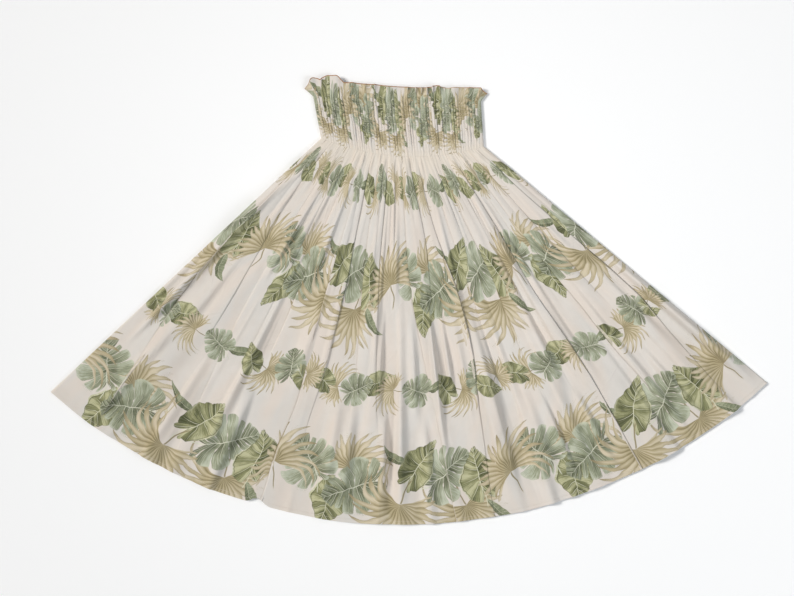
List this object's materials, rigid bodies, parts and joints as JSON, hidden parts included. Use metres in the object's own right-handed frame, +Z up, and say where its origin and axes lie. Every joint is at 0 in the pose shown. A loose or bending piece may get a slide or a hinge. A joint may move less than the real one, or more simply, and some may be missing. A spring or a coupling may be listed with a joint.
{
  "type": "hula skirt",
  "caption": "Full gathered cotton skirt with a shirred elastic waistband, laid flat and fanned out to the hem.",
  "frame": {"origin": "centre of the bounding box, on the surface that the skirt lies on", "axes": "+X along the hem from the skirt's left side to its right side as seen from above, +Y from the hem towards the waist, +Z up from the surface"},
  "size_m": [1.2564, 0.7866, 0.02],
  "materials": {
    "skirt": "matt printed cotton",
    "hem": "matt printed cotton, turned up and stitched",
    "waistband": "matt printed cotton, shirred on elastic",
    "heading": "matt printed cotton frill"
  },
  "bodies": {
    "root": {"skirt_front": "skirt", "skirt_back": "skirt", "hem_front": "hem", "hem_back": "hem", "waistband_front": "waistband", "waistband_back": "waistband", "heading_front": "heading", "heading_back": "heading"}
  },
  "joints": []
}
